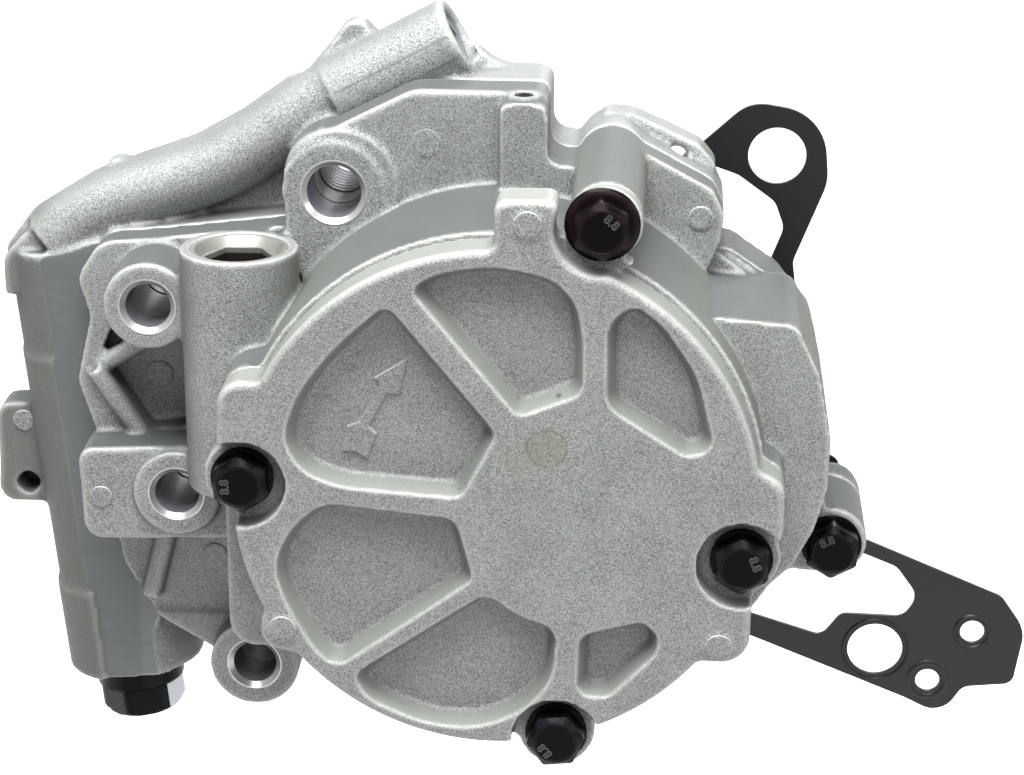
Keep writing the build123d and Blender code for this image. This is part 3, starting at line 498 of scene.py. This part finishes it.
coverBolts = [{"at": (-65.9, -61, 3.4), "turn": 32}, {"at": (29.1, -61, -11), "turn": 30},
              {"at": (-5.9, -61, -48.6), "turn": 6}]
smallBolt = {"way": (0, -1, 0), "flat": 10, "corner": 0.97, "head": 6, "flange": 5.9, "flangeHeight": 1.3,
             "shank": 2.95, "length": 22, "sunk": 0.12}
longBolt = {"at": (2, -61, 54.5), "turn": 33, "flange": 7, "length": 58}
sideBolt = {"at": (47.7, -34, -19), "turn": 28, "length": 24}
for name, bolts, finish, node in (("coverBoltSet", coverBolts, blackOxide, "cover_bolts"),
                                  ("longFlangeBolt", [longBolt], brownOxide, "long_flange_bolt"),
                                  ("sideFlangeBolt", [sideBolt], blackOxide, "side_bolt")):
    addSurface(name, [(hexagonBolt(**{**smallBolt, **bolt}), False) for bolt in bolts], finish,
               node)

# Strength grade in raised figures on each bolt's head; sides gives the angle at which each bolt has them

grade = {"text": "8.8", "size": 2.5 * mm, "line": 0.05 * mm, "out": 1.9 * mm,
         "sides": (182, 22, 222, 48, 115), "curveSteps": 3, "lineSteps": 1}


def addGrades():
    # the figures' outlines as thin round lines: point = head's middle + along * right + (out + above) * up
    curve = bpy.data.curves.new("grade", "FONT")
    curve.body = grade["text"]
    curve.size = grade["size"]
    curve.align_x = "CENTER"
    curve.fill_mode = "NONE"
    curve.resolution_u = grade["curveSteps"]
    curve.bevel_depth = grade["line"]
    curve.bevel_resolution = grade["lineSteps"]
    maker = bpy.data.objects.new("grade", curve)
    bpy.context.scene.collection.objects.link(maker)
    text = bpy.data.meshes.new_from_object(maker.evaluated_get(bpy.context.evaluated_depsgraph_get()))
    flat = np.empty(len(text.vertices) * 3)
    text.vertices.foreach_get("co", flat)
    flat = flat.reshape(-1, 3)
    faces = [list(face.vertices) for face in text.polygons]
    bpy.data.objects.remove(maker)
    points, ends = [], []
    for place, (bolt, side) in enumerate(zip(coverBolts + [longBolt, sideBolt], grade["sides"])):
        top = np.array(bolt["at"]) * mm + np.array([0, -(smallBolt["head"] - smallBolt["sunk"]) * mm, 0])
        up = np.array([cos(radians(side)), 0, sin(radians(side))])
        right = np.array([up[2], 0, -up[0]])
        points.append(top + flat[:, :1] * right + (flat[:, 1:2] + grade["out"]) * up
                      - flat[:, 2:] * np.array([0, 1, 0]))
        ends += [[corner + place * len(flat) for corner in face] for face in faces]
    addMesh("gradeFigures", np.concatenate(points), ends, figureHighlight)


addGrades()
print("bolts made")

# Plug of the relief valve: collar and hexagon below the barrel

barrelWay = np.array([-9.1, 0, 93.5]) / np.hypot(9.1, 93.5)
reliefPlug = {"at": (-100, -2, -62.5), "flat": 15.8, "collar": 9.5, "collarLow": 5.2, "low": 11.8, "turn": 46,
              "corner": 0.98, "shank": 8.95, "shankEnd": 9.5, "highlightBelow": -69.5 * mm, "highlightFacing": 0.85}


def makeReliefPlug():
    # profile up from the hexagon's foot: hexagon with a rounded foot, collar, then the shank in the barrel
    size = reliefPlug
    cone = size["flat"] / 2 / cos(pi / 6)
    low, collarLow, collar = size["low"], size["collarLow"], size["collar"]
    shank, end = size["shank"], size["shankEnd"]
    profile = [(-low, 0), (-low, cone * 0.8), (0.2 - low, cone * 0.88), (0.7 - low, cone * 0.95),
               (1.3 - low, cone), (-collarLow - 0.05, cone), (-collarLow, cone + 0.1),
               (-collarLow, collar - 0.4), (0.4 - collarLow, collar), (-0.8, collar), (-0.4, collar - 0.4),
               (-0.4, shank), (end - 0.5, shank), (end, shank - 0.55), (end, 0)]

    def section(angle, radius, height):
        six = hexagonSection(angle, size["turn"], size["flat"], cone * size["corner"])
        isHexagon = height < -(collarLow + 0.001) * mm
        return np.where(isHexagon, np.minimum(six, radius), radius + 0 * angle)

    grid = turned(size["at"], barrelWay, profile, side=(0, 1, 0), columns=96, shape=section)
    plug = addSurface("reliefHexagonPlug", [(grid, False)], blackOxide, "relief_plug")
    # the hexagon's side that faces right, toward the right lamp, is painted light grey: a painted highlight
    plug.data.materials.append(plugFacetHighlight)
    for face in plug.data.polygons:
        if face.normal.x > size["highlightFacing"] and face.center.z < size["highlightBelow"]:
            face.material_index = 1


makeReliefPlug()

# Reamed bores of the mounting bosses: a bright chamfer, and two liners that meet at the castings' joint

bosses = {
    "a": {"at": (-51.7, 49.6), "bore": 5.5, "top": 26.5, "back": -8.8},
    "b": {"at": (-87.6, 28.8), "bore": 4.6, "top": 37, "back": 0.3},
    "c": {"at": (-83.9, -11.6), "bore": 4.6, "top": 34.5, "back": 0.3},
    "d": {"at": (-70.6, -53), "bore": 4.6, "top": 26, "back": -8.8},
}
# liners stand 0.12 mm inside the bore, and leave a gap on both sides of the castings' joint
liner = {"inside": 0.12, "thick": 0.8, "joint": 15, "gap": 0.3, "lip": 0.5, "sleeveTop": 8, "ridges": 8,
         "ridgeStep": 2}
earHole = {"at": (15.2, 0, 53), "bore": 2.2, "outside": 2.8, "top": 7.9, "back": 0.2}


def makeBores():
    # closed rings: each profile runs down the inside of the bore and back up behind it, as (height, radius)
    liners, chamfers = [], []
    fore, aft, lip = liner["joint"] + liner["gap"], liner["joint"] - liner["gap"], liner["lip"]
    for boss in bosses.values():
        at, way = (boss["at"][0], 0, boss["at"][1]), (0, -1, 0)
        bore, top, back = boss["bore"] - liner["inside"], boss["top"], boss["back"]
        outside = bore + liner["thick"]
        ring = [(top + 0.06, bore + 1.25), (top + 0.08, bore + 1), (top - 0.9, bore + 0.02),
                (top - 1.1, bore), (top - 1.3, bore + 0.6), (top - 0.4, bore + 1.3)]
        front = [(top - 1, bore + 0.04), (liner["joint"] + lip, bore), (fore, bore + 0.3), (fore, outside),
                 (top - 1.6, outside)]
        rear = [(aft, bore + 0.3), (liner["joint"] - lip, bore)]
        if back < 0:
            # ridges in the dowel sleeve
            rear.append((liner["sleeveTop"], bore))
            for ridge in range(liner["ridges"]):
                high = liner["sleeveTop"] - 0.4 - liner["ridgeStep"] * ridge
                rear += [(high, bore - 0.12), (high - 0.6, bore - 0.32), (high - 1.4, bore - 0.12)]
        rear += [(back, bore + 0.1), (back, bore + 0.6), (aft, outside)]
        chamfers.append((turned(at, way, ring, columns=72), True))
        liners += [(turned(at, way, profile, columns=72), True) for profile in (front, rear)]
    bore, outside, top, back = (earHole[part] for part in ("bore", "outside", "top", "back"))
    ear = [(top, bore), (back, bore), (back, outside), (top, outside)]
    liners.append((turned(earHole["at"], (0, -1, 0), ear, columns=48), True))
    addSurface("reamedBores", liners, turnedAluminium)
    addSurface("boreChamfers", chamfers, chamferFinishAndHighlight)


makeBores()

# The two valve springs, each copied from its imported coil and hung on the casing; travel is in mm, and way
# points from the fixed end to the end that moves

springs = {
    "relief_spring": {"piece": "reliefCoilSpring", "joint": "relief_slide", "end": (-100.91, -2, -53.1),
                      "way": (-9.1, 0, 93.5), "travel": 6},
    "check_spring": {"piece": "checkCoilSpring", "joint": "check_slide", "end": (-69.4, -35, 33),
                     "way": (0, 0, -1), "travel": 2.5},
}


def makeSpring(node, piece, joint, end, way, travel):
    # travel is not used: each coil keeps its imported length
    data = nodes[node].data.copy()
    data.name = piece
    spring = bpy.data.objects.new(piece, data)
    bpy.context.scene.collection.objects.link(spring)
    way = np.array(way) / np.linalg.norm(way)
    points = np.empty(len(data.vertices) * 3)
    data.vertices.foreach_get("co", points)
    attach(spring, "casing")
    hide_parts(node)
    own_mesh(spring)


for node, size in springs.items():
    makeSpring(node, **size)

# Round marks of the ejector pins, raised like coins from the cast faces: x, depth, z and radius of each in mm

ejectorMarks = [(-11.5, 66.3, 55.6, 2.6), (25.2, 66.3, -27.6, 2.6), (-58.6, 66.3, -26, 2.6),
                (-89.3, 18, 8.1, 2.9), (-79.4, 18, -32, 2.8), (20.3, 23, 44.6, 2.5),
                (-99.6, 32.9, -13.2, 2.3), (-121.4, 5, -7.6, 2.3), (-33.5, 24.78, 59.5, 3.0)]


def makeEjectorMarks():
    # height over radius: a flat top, a round edge and a foot sunk in the face
    profile = [(-0.5, 0), (-0.5, 1), (0.12, 1), (0.26, 0.96), (0.32, 0.88), (0.3, 0.6), (0.3, 0)]
    grids = []
    for x, depth, z, radius in ejectorMarks:
        rows = [(height, share * radius) for height, share in profile]
        grids.append((turned((x, -depth, z), (0, -1, 0), rows, columns=40), False))
    addSurface("ejectorMarks", grids, castMark)


makeEjectorMarks()

# Beads pressed round the gasket's own holes: x, z, radius and width of each in mm

gasketBeads = [(60.2, -58.2, 7.0, 0.3), (71.8, -65.3, 4.0, 0.85), (80.8, -53.6, 3.7, 0.5)]
beadRing = {"middle": -0.4, "height": 0.72, "steps": 14}


def makeGasketBeads():
    # ring: radius + width * cos(turn) across, and middle + height * sin(turn) over both faces of the sheet
    turn = np.linspace(0, 2 * pi, beadRing["steps"], endpoint=False)
    grids = []
    for x, z, radius, width in gasketBeads:
        profile = np.stack([beadRing["middle"] + beadRing["height"] * np.sin(turn),
                            radius + width * np.cos(turn)], axis=1)
        grids.append((turned((x, 0, z), (0, -1, 0), profile, columns=64), True))
    addSurface("gasketBeads", grids, coatedGasket)


makeGasketBeads()

# Arrow on the floor of the upper left pocket: it shows which way the shaft turns

arrow = {"depth": 61.4, "foot": -0.5, "height": 0.6, "soft": 0.35,
         "outline": [(-34.0, 28.1), (-40.5, 24.0), (-39.7, 22.7), (-39.9, 21.7), (-43.5, 15.2), (-45.7, 14.3),
                     (-47.0, 9.1), (-44.5, 9.1), (-41.9, 7.7), (-40.1, 12.8), (-41.5, 14.4), (-37.8, 20.9),
                     (-35.6, 20.8)]}


def makeArrow():
    # the outline's loop carried up in three steps, the last drawn in by soft at right angles to its edges
    outline = np.array(arrow["outline"])
    ahead = np.roll(outline, -1, axis=0) - outline
    behind = outline - np.roll(outline, 1, axis=0)
    ahead /= np.linalg.norm(ahead, axis=1)[:, None]
    behind /= np.linalg.norm(behind, axis=1)[:, None]
    inward = np.stack([-(ahead + behind)[:, 1], (ahead + behind)[:, 0]], axis=1)
    inward /= np.linalg.norm(inward, axis=1)[:, None]
    if np.sum(outline[:, 0] * np.roll(outline[:, 1], -1) - outline[:, 1] * np.roll(outline[:, 0], -1)) < 0:
        inward = -inward
    count = len(outline)
    rings = []
    steps = ((arrow["foot"], 0), (arrow["height"] - arrow["soft"], 0), (arrow["height"], arrow["soft"]))
    for rise, draw in steps:
        ring = outline + inward * draw
        rings.append(np.stack([ring[:, 0], np.full(count, -arrow["depth"] - rise), ring[:, 1]], axis=1) * mm)
    index = np.arange(3 * count).reshape(3, count)
    following = np.roll(index, -1, axis=1)
    faces = np.stack([index[:-1], following[:-1], following[1:], index[1:]], axis=-1).reshape(-1, 4).tolist()
    faces += [index[0].tolist(), index[2].tolist()]
    addMesh("turningArrow", np.concatenate(rings), faces, castMark)


makeArrow()
print("bores, marks, beads and arrow made")

# Floor, light and camera

floorSize = {"below": 120 * mm, "radius": 4.0, "corners": 96, "colour": "#fafaf8", "bounce": "#6e6e6c",
             "rough": 0.8, "glow": 0.55}
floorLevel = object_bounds()[0][2] - floorSize["below"]


def directView(tree):
    # 1 where the camera sees a thing itself, in a mirror or through glass, 0 for the light that it sends on
    path = addNode(tree, "LightPath")
    seen = calculated(tree, "MAXIMUM", path.outputs["Is Camera Ray"], path.outputs["Is Glossy Ray"])
    return calculated(tree, "MAXIMUM", seen, path.outputs["Is Transmission Ray"])


def makeFloor():
    # a wide flat disc, white paper for the camera, and darker in the light that it sends up to the object
    corners, radius = floorSize["corners"], floorSize["radius"]
    angle = np.linspace(0, 2 * pi, corners, endpoint=False)
    points = np.stack([radius * np.cos(angle), radius * np.sin(angle), np.full(corners, floorLevel)], axis=1)
    data = bpy.data.meshes.new("floor")
    data.from_pydata(points.tolist(), [], [list(range(corners))])
    floor = bpy.data.objects.new("floor", data)
    bpy.context.scene.collection.objects.link(floor)
    material, tree = newMaterial("paleFloorPaper")
    seen = directView(tree)
    shade = mixed(tree, seen, linear(floorSize["bounce"]), linear(floorSize["colour"]))
    paper = addNode(tree, "BsdfPrincipled", {}, {"Base Color": shade, "Roughness": floorSize["rough"]})
    glow = addNode(tree, "Emission", {}, {"Color": linear("#ffffff"), "Strength": floorSize["glow"]})
    none = addNode(tree, "Emission", {}, {"Strength": 0})
    lift = addNode(tree, "MixShader", {}, {0: seen, 1: none.outputs[0], 2: glow.outputs[0]})
    both = addNode(tree, "AddShader", {}, {0: paper.outputs[0], 1: lift.outputs[0]})
    addNode(tree, "OutputMaterial", {}, {"Surface": both.outputs[0]})
    data.materials.append(material)


makeFloor()

lamps = {
    "topLamp": {"at": (-0.1, -0.18, 0.63), "size": 0.5, "power": 12.5, "aim": (-0.03, -0.03, 0)},
    "frontLamp": {"at": (0.15, -0.5, 0.55), "size": 0.4, "power": 2.1, "aim": (0, -0.03, 0)},
    "rightLamp": {"at": (0.9, -0.25, 0.35), "size": 0.5, "power": 3.4, "aim": (0, -0.03, 0)},
    "backLamp": {"at": (0.2, 1.2, 0.7), "size": 0.7, "power": 5, "aim": (0, -0.03, 0)},
}
worldLight = 0.16


def makeLamps():
    for name, lamp in lamps.items():
        data = bpy.data.lights.new(name, "AREA")
        data.shape = "DISK"
        data.size = lamp["size"]
        data.energy = lamp["power"]
        made = bpy.data.objects.new(name, data)
        bpy.context.scene.collection.objects.link(made)
        made.location = lamp["at"]
        way = np.array(lamp["aim"]) - np.array(lamp["at"])
        made.rotation_euler = Vector(way).to_track_quat("-Z", "Y").to_euler()
    world = bpy.data.worlds.new("studio")
    world.use_nodes = True
    tree = world.node_tree
    tree.nodes.clear()
    level = mapped(tree, directView(tree), end=(worldLight, 1))
    back = addNode(tree, "Background", {}, {"Color": linear("#ffffff"), "Strength": level})
    addNode(tree, "OutputWorld", {}, {"Surface": back.outputs[0]})
    bpy.context.scene.world = world


makeLamps()

# turn and rise in degrees about the drive axis, focus and width in pixels of the photo
camera = {"turn": 3.4, "rise": 20, "distance": 520 * mm, "aim": (-14.3 * mm, -66 * mm, 24.18 * mm),
          "focus": 2808, "width": 1024, "sensor": 36, "near": 0.02}


def makeCamera():
    turn, rise = radians(camera["turn"]), radians(camera["rise"])
    back = np.array([sin(turn) * cos(rise), -cos(turn) * cos(rise), sin(rise)])
    data = bpy.data.cameras.new("camera")
    data.sensor_width = camera["sensor"]
    data.lens = camera["focus"] / camera["width"] * camera["sensor"]
    data.clip_start = camera["near"]
    made = bpy.data.objects.new("camera", data)
    bpy.context.scene.collection.objects.link(made)
    made.location = np.array(camera["aim"]) + camera["distance"] * back
    made.rotation_euler = Vector(-back).to_track_quat("-Z", "Y").to_euler()
    bpy.context.scene.camera = made


makeCamera()
bpy.context.scene.view_settings.view_transform = "Standard"
print("stage, lamps and camera set")
